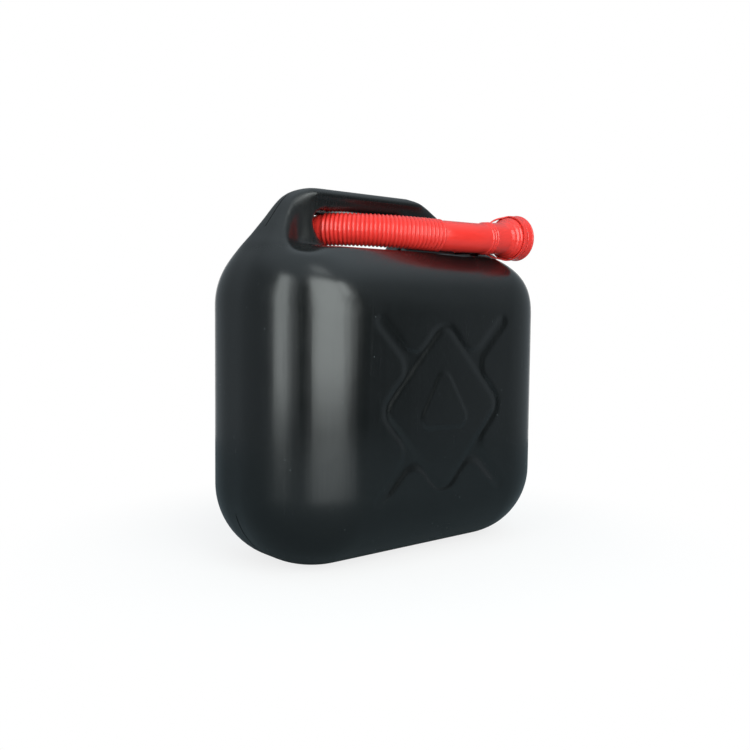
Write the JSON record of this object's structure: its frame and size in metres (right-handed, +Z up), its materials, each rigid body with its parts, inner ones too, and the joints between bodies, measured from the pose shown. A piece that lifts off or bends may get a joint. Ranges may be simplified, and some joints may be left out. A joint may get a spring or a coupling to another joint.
{
  "type": "jerry can",
  "caption": "Upright black plastic fuel can with a moulded carry handle over a hand hole, a screw cap, and a red flexible pouring spout stowed through the handle.",
  "frame": {"origin": "centre of the base, on the surface the can stands on", "axes": "+X along the broad faces from the handle post to the filler neck, +Y from front to back, +Z up"},
  "size_m": [0.3131, 0.1652, 0.315],
  "materials": {
    "can_plastic": "satin blow-moulded polyethylene, fine orange-peel skin",
    "cap_plastic": "satin injection-moulded polyethylene",
    "spout_plastic": "glossy flexible polyethylene",
    "seal_rubber": "matte nitrile rubber"
  },
  "bodies": {
    "can": {"can_body": "can_plastic", "leash": "spout_plastic"},
    "seal": {"cap_seal": "seal_rubber"},
    "disc": {"cap_disc": "cap_plastic"},
    "ring": {"cap_ring": "cap_plastic"},
    "spout": {"spout": "spout_plastic"}
  },
  "joints": [
    {"name": "cap_lift", "type": "slide", "parent": "can", "child": "seal", "axis": [0, 0, 1], "range_m": [0, 0.03]},
    {"name": "cap_rise", "type": "slide", "parent": "seal", "child": "disc", "axis": [0, 0, 1], "range_m": [0, 0.0045]},
    {"name": "cap_turn", "type": "hinge", "parent": "disc", "child": "ring", "pos_m": [0.111, 0, 0.285], "axis": [0, 0, 1], "range_deg": [0, 540]},
    {"name": "spout_draw", "type": "slide", "parent": "can", "child": "spout", "axis": [1, 0, 0], "range_m": [0, 0.035]}
  ],
  "couplings": [
    {"joint": "cap_rise", "follows": "cap_turn", "m_per_rad": 0.00047746}
  ]
}
